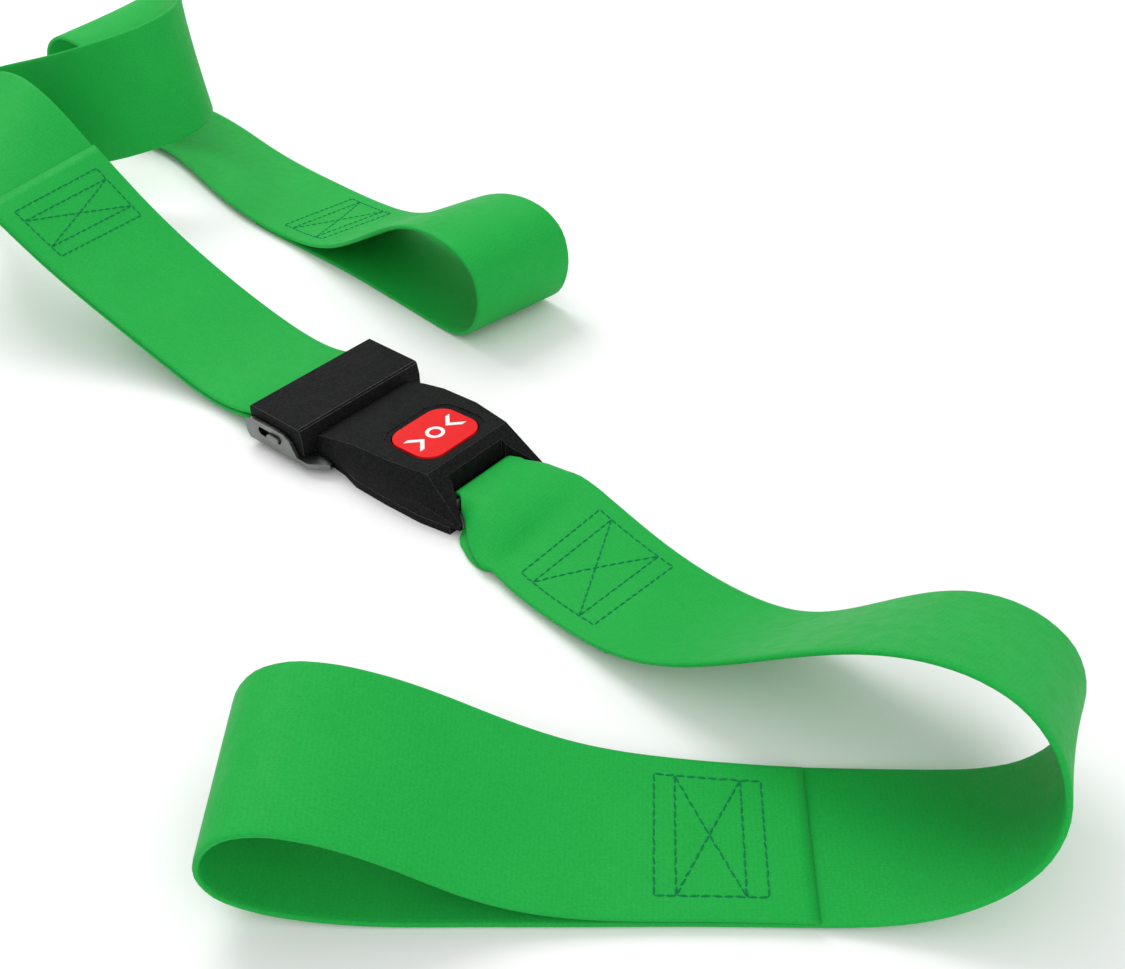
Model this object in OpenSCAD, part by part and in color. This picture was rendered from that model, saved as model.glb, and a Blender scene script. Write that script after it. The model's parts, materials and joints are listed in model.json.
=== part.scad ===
// Two-piece restraint strap: a metal push-button buckle, a slide-bar tongue and two lengths of
// coated webbing with sewn loop ends. X runs along the buckle from tongue to receiver, Z is up,
// and the origin is the bottom centre of the closed buckle.

/* [Webbing] */
// Thickness of the coated webbing
web_t = 1.8; // [1.6:0.1:1.8]
// Diameter of the sewing thread
thread_d = 0.7; // [0.4:0.1:0.8]

/* [Receiver] */
// Wall thickness of the moulded covers
cover_wall = 1.8; // [1.6:0.1:1.8]
// Width of the webbing mouth between the two rear legs
mouth_w = 26.6; // [26.6:0.1:28]
// Height of the seam between the top and bottom covers
seam_z = 3.2; // [3:0.1:3.2]
// Thickness of the steel frame inside the covers
frame_t = 1.5; // [1.2:0.1:1.5]
// Radius of the bar that holds the webbing
web_bar_r = 2; // [1.8:0.1:2]

/* [Button] */
// Length of the button along the buckle
button_l = 22; // [20:0.5:22.5]
// Width of the button across the buckle
button_w = 27.5; // [25:0.5:28]
// Corner radius of the button
button_r = 7; // [5:0.5:8]
// Gap between the button and its window
button_gap = 0.6; // [0.5:0.1:0.8]
// Depth of the recess round the button
recess = 0.8; // [0.6:0.1:0.9]

/* [Tongue] */
// Thickness of the steel plate
plate_t = 2; // [1.8:0.1:2]
// Width of the tongue's blade
blade_w = 36; // [32:1:36]
// Height of the upturned flanges above the ground
flange_top = 12; // [11.5:0.5:13]

/* [Slide bar] */
// Width of the cover block across the buckle
block_w = 57.2; // [56.8:0.1:57.4]
// Height of the cover block's top above the ground
block_top = 16; // [15.5:0.1:17]
// Height of the flat slide bar
bar_h = 2.6; // [2.2:0.1:2.6]

/* [Hidden] */
$fn = 48;

// Receiver covers: [x, side half width, side height, top half width, top height]
rec_x0 = -18.5;
ridge_x = 32;
rec_x1 = 48;
sections = [
    [rec_x0, 23.6, 7.8, 22, 11.4],
    [-10, 24.2, 8.3, 22.2, 13.7],
    [0, 24.7, 8.8, 22.2, 15.8],
    [16, 24.8, 9, 21.8, 17],
    [ridge_x, 24.1, 8.4, 19.4, 17.2],
    [rec_x1, 21.7, 4.2, 21.2, 5.2]
];
// Outline of the bottom cover: [x, half width]
bottom_x1 = 44;
bottom = [[rec_x0, 21], [-6, 22.4], [2, 24.6], [16, 24.8], [ridge_x, 24.3], [bottom_x1, 22.4]];
mouth_x = 35.2;
flare = [37, 20.4];                      // where the mouth starts to widen, half width at the tips
screw_x = [3, 27];
screw_y = 21.95;

// Steel frame inside the receiver and the bar across its rear end
frame_x0 = -16;
frame_x1 = 36.2;
ear_x1 = 43.4;
frame_w = 40;
frame_z = cover_wall + 0.05;
frame_top = 8.2;
web_bar_x = 40.6;
web_bar_z = 6.2;
floor_window = [-8, 22];
floor_window_w = 14;

// Latch leaf with its tooth, riveted to the frame at the rear
leaf_t = 0.6;
leaf_z = frame_z + frame_t + 0.02;
leaf_x = [-1, 29.5];
leaf_w = 11;
rivet_x = 26;
rivet_y = 3.2;

// Button, its post over the latch and its springs
button_x = 17;
button_top = 16.6;
button_tilt = 2.6;
button_h = 4.7;
button_flange = [11.4, 12.5];
post_x = [17, 20];
post_z = 6.1;
spring_wire = 0.6;
button_spring_x = 21;
button_spring_y = 12.2;
button_spring_r = 1.9;

// Ejector and its springs
ejector_x = [10.1, 16.1];
ejector_z = [5.9, 8.1];
ejector_spring_y = 7.7;
ejector_spring_z = 6.2;
ejector_spring_r = 1.7;
ejector_seat = [27.6, 29];
ejector_seat_top = 8.2;

// Tongue plate
head_z = 3;
blade_z = 6;
head_x0 = -46;
flange_x0 = -47.6;
head_x1 = -24;
blade_x0 = -19.5;
blade_x1 = 10;
flange_t = 1.5;
flange_y = 29;
blade_window = [-2, 5.5];
blade_window_w = 13;
web_window = [-39.3, -25];
web_window_w = 53;
bar_slot = [-40.4, -28.6];
bar_slot_z = [6.8, 10];

// Slide bar and the block that covers it
bar_x = [-35, -29];
bar_z = 7.1;
bar_l = 63;
block_x = [-46, -19];
channel_x1 = -21.5;
channel_w = 51.8;
channel_top = 12;
pin_y = 27.2;
pin_r = 0.75;

// Route of strap A from the slide bar to its sewn loop: one list for each edge of the webbing
a_near = [
    [-33, -25.4, 10.75], [-45, -25.4, 10.75], [-57, -25.4, 6], [-75, -25.5, 4.4],
    [-98, -26, 10], [-128, -29.5, 22], [-158, -34, 36], [-184, -39, 56], [-217, -38, 63],
    [-236, -15, 31], [-262, -2, 13], [-295, 6, 2], [-297, 44, 2], [-265, 54, 14],
    [-233, 57, 25], [-212, 86, 34], [-234, 113, 34], [-270, 115, 30], [-304, 102, 34],
    [-340, 97, 54], [-372, 101, 26], [-341, 101, 2], [-307, 101, 3], [-273, 103, 5],
    [-241, 95, 5], [-209, 85.5, 4], [-177, 79.5, 3], [-146, 78, 3], [-116, 73, 11],
    [-86, 69, 30], [-56, 65, 48], [-15, 62, 42], [-26, 66, 1], [-56, 70, 1],
    [-86, 74, 1], [-116, 77.5, 1], [-146, 79, 1], [-177, 81, 1], [-209, 86, 1]
];
a_far = [
    [-33, 25.4, 10.75], [-45, 25.4, 10.75], [-57, 25.4, 6], [-75, 25.6, 4.6],
    [-101, 24.5, 10.5], [-131, 21.5, 22.5], [-159, 17.5, 39.5], [-185, 13.5, 62], [-216, 9, 86],
    [-253, 10, 74], [-282, -1, 60], [-315, 3, 51], [-315, 42, 52], [-282, 52, 62],
    [-251, 52, 73], [-225, 79, 83], [-243, 109, 83], [-273, 126, 79], [-301, 145, 69],
    [-335, 149, 58], [-363, 152, 33], [-343, 151, 1], [-307, 152, 3], [-272, 149.5, 1.5],
    [-238, 141.5, 1], [-205, 135, 2], [-172, 131, 3], [-140, 129, 3], [-108, 122, 10],
    [-79, 119, 27], [-50, 115, 45], [-13, 112, 42], [-19, 114, 1], [-48, 116, 1],
    [-79, 120, 1], [-108, 123, 1], [-140, 128, 1], [-172, 131, 1], [-205, 136, 1]
];
a_end = 36;
a_tail_end = 5.9;
a_drop = [4.7, 4, 2.1];                  // height of the tail above the standing part
a_bar_x = -40.5;                         // where the strap leaves the block

// Route of strap B from behind the receiver to its sewn loop
b_near = [
    [28, -18, 9], [52, -24, 5], [72, -31.5, 3], [98, -35, 3], [127, -38.5, 7], [153, -37.5, 22],
    [178, -34, 41], [205, -30, 56.5], [238, -29, 59.5], [257, -37, 31.5], [238.5, -55, 6],
    [213.5, -72, 1], [190, -90.5, 1], [167, -110, 1], [146, -127, 1], [124, -146, 1],
    [93, -168, 8], [104, -161, 41], [130, -138, 26], [147, -125, 9], [167, -110, 3],
    [190, -90.5, 3], [213.5, -72, 3], [238.5, -55, 3]
];
b_far = [
    [28, 24, 10], [52, 22.5, 10], [75, 18.5, 9], [102, 13.5, 5], [130, 11, 3], [159, 11, 6],
    [181, 15, 25.5], [205, 19, 43.5], [238, 18, 38], [238, 4, 6], [208, -15, 1],
    [185, -33, 1], [161, -51, 1], [137, -70, 1], [115, -87, 1], [91.5, -105.5, 1],
    [60.5, -129, 6.5], [70.5, -122, 42.5], [98, -99, 33], [117, -85, 19.5], [137, -70, 7],
    [161.5, -51.5, 3], [186, -34.5, 3], [209, -16.5, 3]
];
b_start = 0.8;
b_end = 20.95;
b_return_end = 2.7;

// Strap B between the bar and its route, folded down at the sides to pass the mouth: the near
// edge, the two folds and the far edge of each row, first over the bar, then under it
b_over = [
    [[42.4, -14.8, 8.6], [42.4, -12.6, 9.7], [42.4, 12.6, 9.7], [42.4, 14.8, 8.6]],
    [[44.5, -16.4, 5.6], [44.5, -13.6, 10.3], [44.5, 13.6, 10.3], [44.5, 16.4, 5.6]],
    [[48, -18.3, 4], [48, -15, 10.8], [48, 15, 10.8], [48, 18.3, 4.6]],
    [[53, -23, 3.6], [53, -17, 10.8], [53, 16, 10.8], [53, 19.8, 6.5]],
    [[59, -27.5, 3.3], [59, -18, 9.8], [59, 15, 10.5], [59, 19.6, 8]],
    [[65, -30.2, 3.1], [65, -17, 8], [65, 13, 9.5], [65, 19.8, 9]]
];
b_under = [
    [[65, -29.2, 1], [65, -15, 3.4], [65, 11, 5.4], [65, 18.5, 6]],
    [[59, -28.6, 1], [59, -14, 3], [59, 11.5, 4.4], [59, 18.5, 3.6]],
    [[53, -25.8, 1], [53, -13, 2.6], [53, 12, 2.8], [53, 19.5, 1.4]],
    [[48.5, -22.5, 1], [48.5, -11, 2.6], [48.5, 11, 2.6], [48.5, 19.5, 1]],
    [[45.5, -16, 1.8], [45.5, -9, 3], [45.5, 9, 3], [45.5, 15.5, 1.8]],
    [[43, -11.6, 3.1], [43, -6.5, 3.2], [43, 6.5, 3.2], [43, 11.6, 3.1]]
];
bar_web_w = [11.4, 13.6];                // half widths under and over the receiver's bar
step = 1 / 3;                            // step along a route between two rings

// A point of the uniform cubic B-spline of the points P
function spline_at(P, u) =
    let (i = min(floor(u), len(P) - 4), f = u - i)
    (pow(1 - f, 3) * P[i] + (3 * pow(f, 3) - 6 * f * f + 4) * P[i + 1]
        + (-3 * pow(f, 3) + 3 * f * f + 3 * f + 1) * P[i + 2] + pow(f, 3) * P[i + 3]) / 6;
function unit(v) = v / norm(v);
function lift(p) = [p[0], p[1], max(p[2], web_t / 2 + 0.05)];

// The webbing's upward normal at u, for a near and a far edge with the route running along
function up_at(near, far, u) =
    let (
        across = spline_at(far, u) - spline_at(near, u),
        along = spline_at(near, u + 0.01) - spline_at(near, max(0, u - 0.01)),
        n = unit(cross(across, along))
    )
    n[2] < 0 ? -n : n;

// Four points across the webbing at u, lowered by drop, with both edges moved in by a share
function row(near, far, u, drop = 0, inset = 0) =
    let (
        a = spline_at(near, u),
        b = spline_at(far, u),
        down = drop == 0 ? [0, 0, 0] : drop * up_at(near, far, u)
    )
    [for (s = [inset, 0.25, 0.75, 1 - inset]) lift(a + (b - a) * s - down)];
function rows(near, far, u0, u1, drop = 0, inset = 0) =
    let (n = round(abs(u1 - u0) / step))
    [for (i = [0:n]) row(near, far, u0 + (u1 - u0) * i / n, drop, inset)];
function flip(list) = [for (i = [len(list) - 1:-1:0]) list[i]];

// Rows of a half turn round a bar at x and z, from below to above; side is -1 when it turns
// on the bar's low-X side
function wrap(x, z, r, w0, w1, side) = [
    for (k = [0:8])
        let (a = -90 + 22.5 * k, w = w0 + (w1 - w0) * k / 8)
        [for (s = [-1, -0.5, 0.5, 1]) [x + side * r * cos(a), w * s, z + r * sin(a)]]
];

// A closed sheet of thickness t through rows of points; the rows run forwards and the points
// of a row run from left to right
module sheet(list, t) {
    n = len(list);
    m = len(list[0]);
    rings = [
        for (i = [0:n - 1])
            let (
                normals = [
                    for (k = [0:m - 1])
                        unit(cross(
                            list[i][min(k + 1, m - 1)] - list[i][max(k - 1, 0)],
                            list[min(i + 1, n - 1)][k] - list[max(i - 1, 0)][k]
                        ))
                ]
            )
            concat(
                [for (k = [0:m - 1]) list[i][k] + normals[k] * t / 2],
                [for (k = [m - 1:-1:0]) list[i][k] - normals[k] * t / 2]
            )
    ];
    loft(rings);
}

// A closed solid through rings of points, each ring clockwise as seen looking forwards
module loft(rings) {
    n = len(rings);
    m = len(rings[0]);
    sides = [
        for (i = [0:n - 2], k = [0:m - 1])
            let (a = m * i + k, b = m * i + (k + 1) % m)
            each [[a, a + m, b + m], [a, b + m, b]]
    ];
    caps = [
        for (k = [0:m / 2 - 2])
            each [
                [k, k + 1, m - 2 - k],
                [k, m - 2 - k, m - 1 - k],
                [m * (n - 1) + k, m * (n - 1) + m - 2 - k, m * (n - 1) + k + 1],
                [m * (n - 1) + k, m * (n - 1) + m - 1 - k, m * (n - 1) + m - 2 - k]
            ]
    ];
    polyhedron(points = [for (ring = rings) each ring], faces = concat(sides, caps), convexity = 8);
}

// A row of stitches between two places given as [u, share of the width]; rise keeps crossing
// rows apart
module stitches(near, far, from, to, rise) {
    n = 4;
    points = [
        for (i = [0:n])
            let (
                u = from[0] + (to[0] - from[0]) * i / n,
                s = from[1] + (to[1] - from[1]) * i / n,
                u0 = floor(u / step) * step,
                f = (u - u0) / step,
                a = lift(spline_at(near, u0)) * (1 - f) + lift(spline_at(near, u0 + step)) * f,
                b = lift(spline_at(far, u0)) * (1 - f) + lift(spline_at(far, u0 + step)) * f
            )
            a + (b - a) * s + up_at(near, far, u) * (web_t / 2 + thread_d / 2 + 0.1 + rise)
    ];
    up = up_at(near, far, (from[0] + to[0]) / 2);
    loft([
        for (i = [0:n])
            let (
                along = points[min(i + 1, n)] - points[max(i - 1, 0)],
                right = unit(cross(along, up)) * thread_d / 2,
                top = up * thread_d / 2
            )
            [
                points[i] - right + top, points[i] + right + top,
                points[i] + right - top, points[i] - right - top
            ]
    ]);
}

// The stitched box: an outline with a second row inside each end, and a cross between them
module stitch_box(near, far, u0, u1, inset) {
    s = [0.13, 0.87];
    for (side = s) {
        stitches(near, far, [u0, side], [u1, side], 0);
    }
    for (u = [u0, u0 + inset, u1 - inset, u1]) {
        stitches(near, far, [u, s[0]], [u, s[1]], 0.07);
    }
    stitches(near, far, [u0 + inset, s[0]], [u1 - inset, s[1]], 0.15);
    stitches(near, far, [u0 + inset, s[1]], [u1 - inset, s[0]], 0.22);
}

// A box between opposite corners
module block(from, to) {
    translate(from) cube(to - from);
}

// A rounded rectangle centred on the origin
module rounded(l, w, r) {
    for (x = [-1, 1], y = [-1, 1]) {
        translate([x * (l / 2 - r), y * (w / 2 - r)]) circle(r);
    }
    square([l - 2 * r, w], center = true);
    square([l, w - 2 * r], center = true);
}

// A coil spring standing on the origin
module coil(r, height, turns) {
    n = turns * 10;
    loft([
        for (i = [0:n])
            let (a = 36 * i, z = spring_wire / 2 + (height - spring_wire) * i / n)
            [
                for (k = [0:5])
                    let (b = 60 * k, d = r + spring_wire / 2 * cos(b))
                    [d * cos(a), d * sin(a), z + spring_wire / 2 * sin(b)]
            ]
    ]);
}

// The receiver's outside, smaller all round by inset
module shell_shape(inset) {
    x_front = rec_x0 + inset;
    list = inset == 0 ? sections : [
        for (i = [0:4])
            let (s = sections[i])
            [max(s[0], x_front), s[1] - inset, s[2] - inset * 0.4, s[3] - inset * 0.6, s[4] - inset]
    ];
    loft([
        for (s = list)
            [
                [s[0], s[1], inset == 0 ? seam_z : 1],
                [s[0], s[1], s[2]],
                [s[0], s[3], s[4]],
                [s[0], -s[3], s[4]],
                [s[0], -s[1], s[2]],
                [s[0], -s[1], inset == 0 ? seam_z : 1]
            ]
    ]);
}

// The frame's side wall, grown by extra
module wall_profile(extra) {
    offset(delta = extra) polygon([
        [frame_x0, frame_z], [ear_x1, frame_z], [ear_x1, 7.2], [web_bar_x, 9.3],
        [34, 9.3], [30, frame_top], [frame_x0, frame_top]
    ]);
}
module frame_walls(extra) {
    for (side = [-1, 1]) {
        translate([0, side * (frame_w - frame_t) / 2 + (frame_t / 2 + extra), 0])
            rotate([90, 0, 0]) linear_extrude(frame_t + 2 * extra) wall_profile(extra);
    }
}

module screw_bosses(r) {
    for (x = screw_x, side = [-1, 1]) {
        translate([x, side * screw_y, 0]) cylinder(r = r, h = 20);
    }
}

// The mouth between the rear legs, widening towards their tips
module mouth(x0) {
    half = mouth_w / 2;
    linear_extrude(24) polygon([
        [x0, -half], [flare[0], -half], [rec_x1, -flare[1]], [rec_x1 + 1, -flare[1]],
        [rec_x1 + 1, flare[1]], [rec_x1, flare[1]], [flare[0], half], [x0, half]
    ]);
}

module bottom_outline() {
    polygon([
        for (p = bottom) p,
        for (i = [len(bottom) - 1:-1:0]) [bottom[i][0], -bottom[i][1]]
    ]);
}

module receiver_top_cover() {
    inner = frame_w / 2 + 0.2;
    window = [button_l + 2 * button_gap, button_w + 2 * button_gap];
    color("#26272b") {
        difference() {
            shell_shape(0);
            difference() {
                shell_shape(cover_wall);
                screw_bosses(2.3);
            }
            // lower front, stepped in to the bottom cover's outline
            difference() {
                block([rec_x0 - 1, -30, 0], [bottom[2][0], 30, 5.4]);
                linear_extrude(6) bottom_outline();
            }
            mouth(mouth_x);
            // room for the frame's base
            block([25, -inner, 3], [frame_x1 + 0.3, inner, frame_z + frame_t + 0.1]);
            // opening for the tongue's blade
            block(
                [rec_x0 - 1, -blade_w / 2 - 0.5, 0],
                [rec_x0 + 4, blade_w / 2 + 0.5, blade_z + plate_t + 0.5]
            );
            // button window and the recess round it
            translate([button_x, 0, 8]) linear_extrude(14)
                rounded(window[0], window[1], button_r + button_gap);
            translate([button_x, 0, button_top + 0.45 - recess]) rotate([0, -button_tilt, 0])
                linear_extrude(4) rounded(button_l + 5, button_w + 5, button_r + 2);
            frame_walls(0.2);
            bar_shape(web_bar_r + 0.2, frame_w + 0.6);
            translate([0, 0, -12]) screw_bosses(1.05);
        }
    }
}

module receiver_bottom_cover() {
    inner = frame_w / 2 + 0.3;
    color("#26272b") {
        difference() {
            linear_extrude(seam_z - 0.1) bottom_outline();
            block([rec_x0 + cover_wall, -inner, cover_wall], [bottom_x1 + 1, inner, 5]);
            block([rec_x0 - 1, -blade_w / 2 - 0.5, cover_wall], [rec_x0 + 4, blade_w / 2 + 0.5, 5]);
            translate([0, 0, -1]) mouth(frame_x1 + 0.3);
            block([floor_window[0], -6.5, 0.8], [floor_window[1], 6.5, 5]);
            for (x = screw_x, side = [-1, 1]) {
                translate([x, side * screw_y, -1]) cylinder(r = 1.2, h = 6);
                translate([x, side * screw_y, -1]) cylinder(r = 1.85, h = 2.4);
            }
        }
    }
}

module receiver_frame() {
    color("silver") {
        difference() {
            union() {
                block([frame_x0, -frame_w / 2, frame_z], [frame_x1, frame_w / 2, frame_z + frame_t]);
                frame_walls(0);
                for (side = [-1, 1]) {
                    block(
                        [ejector_seat[0], side * ejector_spring_y - 1.5, frame_z + 1],
                        [ejector_seat[1], side * ejector_spring_y + 1.5, ejector_seat_top]
                    );
                }
            }
            block([floor_window[0], -floor_window_w / 2, 0], [floor_window[1], floor_window_w / 2, 5]);
            bar_shape(web_bar_r + 0.05, frame_w + 8);
            for (side = [-1, 1]) {
                translate([rivet_x, side * rivet_y, 0]) cylinder(r = 1.05, h = 5);
            }
        }
    }
}

module bar_shape(r, length) {
    translate([web_bar_x, length / 2, web_bar_z]) rotate([90, 0, 0]) cylinder(r = r, h = length);
}

module webbing_bar() {
    color("silver") {
        bar_shape(web_bar_r, frame_w);
    }
}

module cover_screws() {
    color("gray") {
        for (x = screw_x, side = [-1, 1]) {
            translate([x, side * screw_y, 0]) difference() {
                union() {
                    translate([0, 0, 0.3]) cylinder(r = 1.7, h = 1.05);
                    translate([0, 0, 1.3]) cylinder(r = 1, h = 5.6);
                }
                for (turn = [0, 90]) {
                    rotate(turn) block([-1.2, -0.25, 0], [1.2, 0.25, 0.8]);
                }
            }
        }
    }
}

module latch_leaf() {
    color("silver") {
        difference() {
            union() {
                block([leaf_x[0], -leaf_w / 2, leaf_z], [leaf_x[1], leaf_w / 2, leaf_z + leaf_t]);
                translate([0, 4.5, 0]) rotate([90, 0, 0]) linear_extrude(9) polygon([
                    [5.3, leaf_z], [5.3, 7.6], [3.6, 7.6], [-0.6, leaf_z + leaf_t], [-0.6, leaf_z]
                ]);
            }
            for (side = [-1, 1]) {
                translate([rivet_x, side * rivet_y, 0]) cylinder(r = 1.05, h = 6);
            }
        }
    }
}

module latch_rivets() {
    color("silver") {
        for (side = [-1, 1]) {
            translate([rivet_x, side * rivet_y, frame_z + 0.05]) {
                cylinder(r = 1, h = 2.2);
                translate([0, 0, frame_t + leaf_t - 0.01]) cylinder(r1 = 1.8, r2 = 1.3, h = 0.8);
            }
        }
    }
}

module mark_shape() {
    difference() {
        circle(3.4);
        circle(2.1);
    }
    for (side = [-1, 1]) {
        scale([1, side]) translate([0, 5.2]) polygon([
            [0, 0], [4, 4], [4, 6], [0, 2], [-4, 6], [-4, 4]
        ]);
    }
}

module on_button() {
    translate([button_x, 0, button_top]) rotate([0, -button_tilt, 0]) children();
}

module push_button() {
    color("red") {
        difference() {
            union() {
                on_button() translate([0, 0, -button_h]) linear_extrude(button_h)
                    rounded(button_l, button_w, button_r);
                translate([button_x, 0, button_flange[0]])
                    linear_extrude(button_flange[1] - button_flange[0])
                    rounded(button_l + 2.4, button_w + 2.4, button_r);
                block([post_x[0], -4, post_z], [post_x[1], 4, button_flange[0] + 0.5]);
            }
            on_button() translate([0, 0, -0.35]) linear_extrude(2) mark_shape();
        }
    }
}

module button_mark() {
    color("white") {
        on_button() translate([0, 0, -0.33]) linear_extrude(0.38) mark_shape();
    }
}

module button_springs() {
    color("silver") {
        for (side = [-1, 1]) {
            translate([button_spring_x, side * button_spring_y, frame_z + frame_t + 0.05])
                coil(button_spring_r, button_flange[0] - frame_z - frame_t - 0.15, 5);
        }
    }
}

module ejector() {
    color("#d8d8d0") {
        difference() {
            union() {
                block([ejector_x[0], -17, ejector_z[0]], [ejector_x[1], 17, ejector_z[1]]);
                for (side = [-1, 1]) {
                    translate([0, side * 13.5, 0])
                        block(
                            [ejector_x[0], -3.2, frame_z + frame_t + 0.1],
                            [ejector_x[1], 3.2, ejector_z[0] + 0.5]
                        );
                }
            }
            block([ejector_x[0] - 1, -15, ejector_z[0] - 1], [ejector_x[0] + 1.2, 15, ejector_z[0] + 0.8]);
        }
    }
}

module ejector_springs() {
    color("silver") {
        for (side = [-1, 1]) {
            translate([ejector_x[1] + 0.05, side * ejector_spring_y, ejector_spring_z])
                rotate([0, 90, 0]) coil(ejector_spring_r, ejector_seat[0] - ejector_x[1] - 0.1, 6);
        }
    }
}

module tongue_plate() {
    half = flange_y + flange_t;
    color("silver") {
        difference() {
            union() {
                // head, joggle and blade as one bent plate
                translate([0, half, 0]) rotate([90, 0, 0]) linear_extrude(2 * half) polygon([
                    [head_x0, head_z], [head_x1, head_z],
                    [head_x1, head_z + plate_t], [head_x0, head_z + plate_t]
                ]);
                translate([0, blade_w / 2, 0]) rotate([90, 0, 0]) linear_extrude(blade_w) polygon([
                    [head_x1 - 1, head_z], [head_x1 + 0.8, head_z],
                    [blade_x0, blade_z], [blade_x1, blade_z],
                    [blade_x1, blade_z + plate_t], [blade_x0 - 0.8, blade_z + plate_t],
                    [head_x1, head_z + plate_t], [head_x1 - 1, head_z + plate_t]
                ]);
                // shoulders reaching past the receiver's front
                for (side = [-1, 1]) {
                    translate([0, 0, head_z]) linear_extrude(plate_t) scale([1, side]) polygon([
                        [head_x1 - 1, 23.2], [-9, 23.6], [-9, 26], [-15.5, half], [head_x1 - 1, half]
                    ]);
                }
                for (side = [-1, 1]) {
                    translate([0, side * (flange_y + flange_t / 2) + flange_t / 2, 0]) rotate([90, 0, 0])
                        linear_extrude(flange_t) polygon([
                            [flange_x0 + 2, head_z], [-15.5, head_z], [-15.5, head_z + plate_t],
                            [-21, head_z + plate_t], [-24, flange_top - 2], [-27, flange_top],
                            [flange_x0 + 3.5, flange_top], [flange_x0 + 1, flange_top - 1.2],
                            [flange_x0, flange_top - 3.5], [flange_x0 + 0.4, head_z + 2]
                        ]);
                }
            }
            block([web_window[0], -web_window_w / 2, 0], [web_window[1], web_window_w / 2, 6]);
            block([blade_window[0], -blade_window_w / 2, 0], [blade_window[1], blade_window_w / 2, 10]);
            // slots for the slide bar
            translate([0, 40, 0]) rotate([90, 0, 0]) linear_extrude(80)
                translate([(bar_slot[0] + bar_slot[1]) / 2, (bar_slot_z[0] + bar_slot_z[1]) / 2])
                rounded(bar_slot[1] - bar_slot[0], bar_slot_z[1] - bar_slot_z[0], 1.5);
            // blade's rounded-off corners
            for (side = [-1, 1]) {
                translate([blade_x1, side * blade_w / 2, 5]) rotate(45) cube([6, 6, 10], center = true);
            }
        }
    }
}

module slide_bar() {
    color("silver") {
        difference() {
            translate([0, bar_l / 2, 0]) rotate([90, 0, 0]) linear_extrude(bar_l)
                translate([(bar_x[0] + bar_x[1]) / 2, bar_z + bar_h / 2])
                rounded(bar_x[1] - bar_x[0], bar_h, bar_h / 2 - 0.01);
            pin_shape(pin_r + 0.05, 0, 20);
        }
    }
}

module slide_bar_cover() {
    half = block_w / 2;
    color("#26272b") {
        difference() {
            translate([0, half, 0]) rotate([90, 0, 0]) linear_extrude(block_w) polygon([
                [block_x[0], 5.5], [block_x[1], 5.5], [block_x[1], block_top - 5],
                [block_x[1] - 1, block_top - 0.6], [block_x[1] - 1.8, block_top],
                [block_x[0] + 1, block_top], [block_x[0], block_top - 1]
            ]);
            // webbing channel, bar notches and room for the blade
            block([block_x[0] - 1, -channel_w / 2, 5], [channel_x1, channel_w / 2, channel_top]);
            block([bar_x[0] - 0.3, -half - 1, 5], [bar_x[1] + 0.3, half + 1, bar_z + bar_h + 0.1]);
            block(
                [channel_x1 - 1, -blade_w / 2 - 0.6, 5],
                [block_x[1] + 1, blade_w / 2 + 0.6, blade_z + plate_t + 0.5]
            );
            pin_shape(pin_r + 0.05, 0, 13.6);
        }
    }
}

module pin_shape(r, z, height) {
    for (side = [-1, 1]) {
        translate([(bar_x[0] + bar_x[1]) / 2, side * pin_y, z]) cylinder(r = r, h = height);
    }
}

module cover_pins() {
    color("silver") {
        pin_shape(pin_r, bar_z, 6.4);
    }
}

// Height of the tail above the standing part at u
function a_drop_at(u) =
    u < 1 ? a_drop[1] - (a_drop[1] - a_drop[2]) * u
        : u < 6 ? a_drop[2] : max(0, a_drop[2] * (7.3 - u) / 1.3);

// A straight row across strap A at x and z
function straight(x, z) = [for (s = [1, 0.5, -0.5, -1]) [x, 25.4 * s, z]];

module strap_a_webbing() {
    z = bar_z + bar_h / 2;
    r = a_drop[0] / 2;
    standing = [
        for (i = [round(a_end / step):-1:0]) flip(row(a_near, a_far, i * step, a_drop_at(i * step)))
    ];
    turn = [for (w = wrap(bar_x[1] - 1.2, z, r, 25.4, 25.4, 1)) flip(w)];
    tail = [for (w = rows(a_near, a_far, 0, a_tail_end - 0.9)) flip(w)];
    tail_tip = [for (u = [5.3, 5.6, a_tail_end]) flip(row(a_near, a_far, u))];
    color("#2fae4a") {
        sheet(
            concat(
                standing, [straight(a_bar_x, z - r)], turn, [straight(a_bar_x, z + r)], tail, tail_tip
            ),
            web_t
        );
    }
}

module strap_a_tail_stitching() {
    color("#0d5a4a") {
        stitch_box(a_near, a_far, 4.9, 5.65, 0.16);
    }
}

module strap_a_loop_stitching() {
    color("#0d5a4a") {
        stitch_box(a_near, a_far, 25.5, 26.45, 0.18);
    }
}

module strap_b_webbing() {
    under = rows(b_near, b_far, b_return_end, b_start, 2.1, 0.035);
    over = rows(b_near, b_far, b_start, b_end);
    turn = wrap(web_bar_x, web_bar_z, web_bar_r + web_t / 2 + 0.1, bar_web_w[0], bar_web_w[1], -1);
    color("#2fae4a") {
        sheet(concat(under, b_under, turn, b_over, over), web_t);
    }
}

module strap_b_bar_stitching() {
    color("#0d5a4a") {
        stitch_box(b_near, b_far, 1.18, 2.4, 0.22);
    }
}

module strap_b_loop_stitching() {
    color("#0d5a4a") {
        stitch_box(b_near, b_far, 19.64, 20.57, 0.18);
    }
}

receiver_top_cover();
receiver_bottom_cover();
receiver_frame();
webbing_bar();
cover_screws();
latch_leaf();
latch_rivets();
push_button();
button_mark();
button_springs();
ejector();
ejector_springs();
tongue_plate();
slide_bar();
slide_bar_cover();
cover_pins();
strap_a_webbing();
strap_a_tail_stitching();
strap_a_loop_stitching();
strap_b_webbing();
strap_b_bar_stitching();
strap_b_loop_stitching();
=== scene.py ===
import json
import math
import random

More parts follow.
